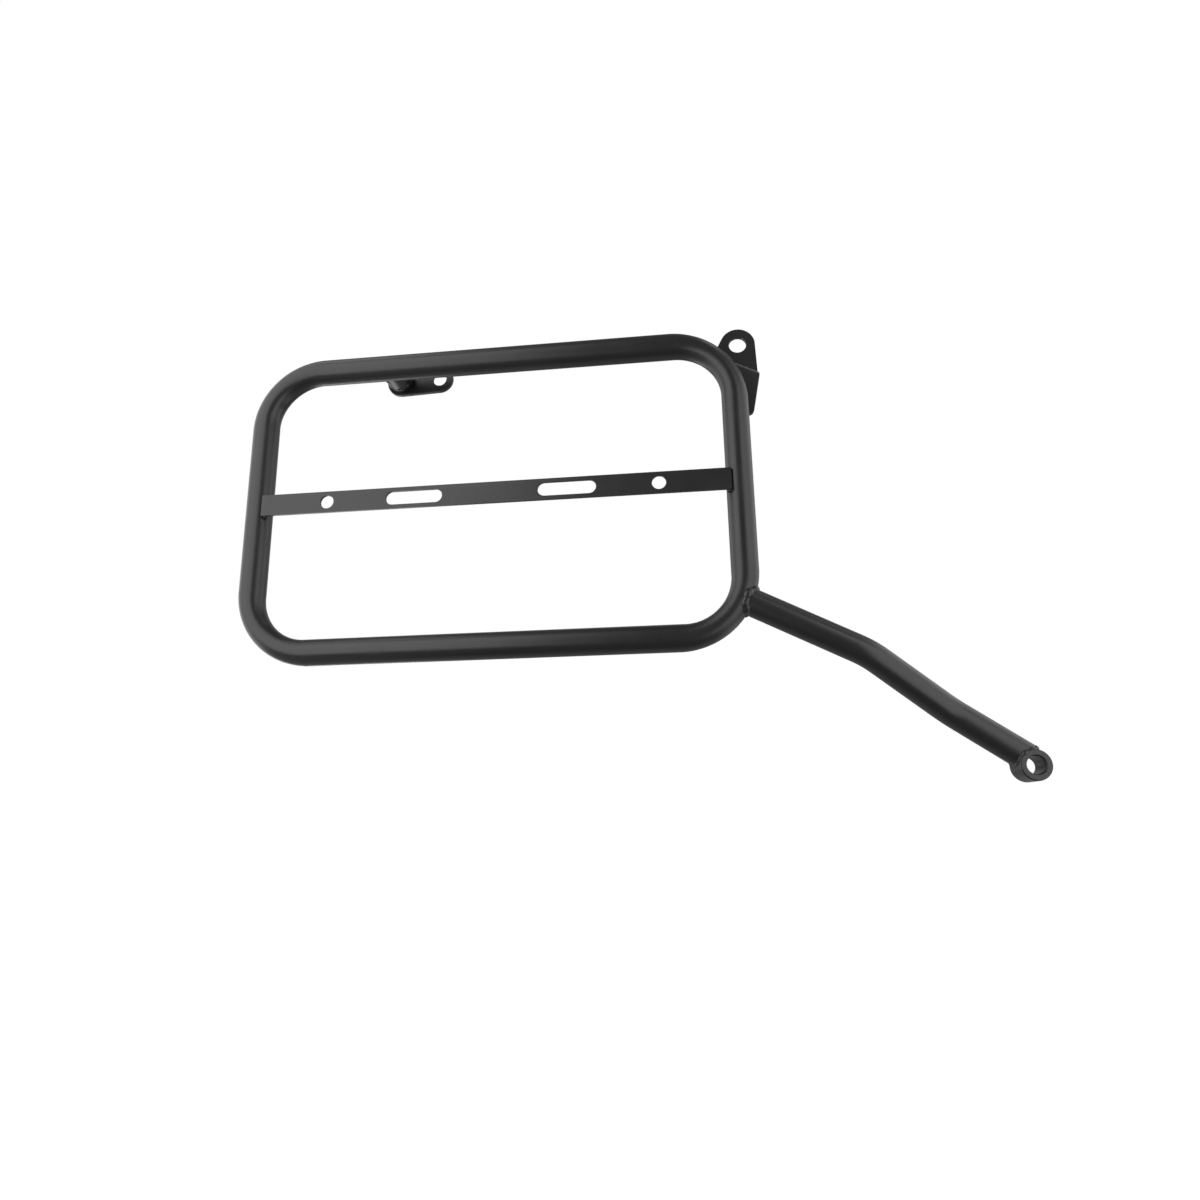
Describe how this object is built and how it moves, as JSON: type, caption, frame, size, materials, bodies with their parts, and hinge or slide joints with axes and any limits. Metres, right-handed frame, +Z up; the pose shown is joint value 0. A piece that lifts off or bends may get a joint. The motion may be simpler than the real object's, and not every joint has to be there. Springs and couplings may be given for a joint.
{
  "type": "motorbike pannier frame",
  "caption": "Right-hand pannier frame of welded round tube: a rounded hoop with a drilled and slotted crossbar, bracket plates above, and a bent strut down to an eye.",
  "frame": {"origin": "centre of the crossbar's hole pattern, on the crossbar's outer face, which is flush with the front of the hoop's tube", "axes": "+X towards the front of the motorbike, +Y inboard towards the motorbike, +Z up"},
  "size_m": [0.5182, 0.0408, 0.3221],
  "materials": {
    "black_powder_coat": "satin"
  },
  "bodies": {
    "root": {"hoop_tube": "black_powder_coat", "hoop_seam_weld": "black_powder_coat", "crossbar": "black_powder_coat", "crossbar_weld_front": "black_powder_coat", "crossbar_weld_rear": "black_powder_coat", "front_bracket": "black_powder_coat", "front_bracket_weld_outer": "black_powder_coat", "front_bracket_weld_inner": "black_powder_coat", "rear_bracket_stub": "black_powder_coat", "rear_bracket_plate": "black_powder_coat", "rear_stub_weld": "black_powder_coat", "rear_plate_weld": "black_powder_coat", "strut_tube": "black_powder_coat", "strut_hoop_weld": "black_powder_coat", "mounting_eye": "black_powder_coat", "strut_eye_weld": "black_powder_coat"}
  },
  "joints": []
}
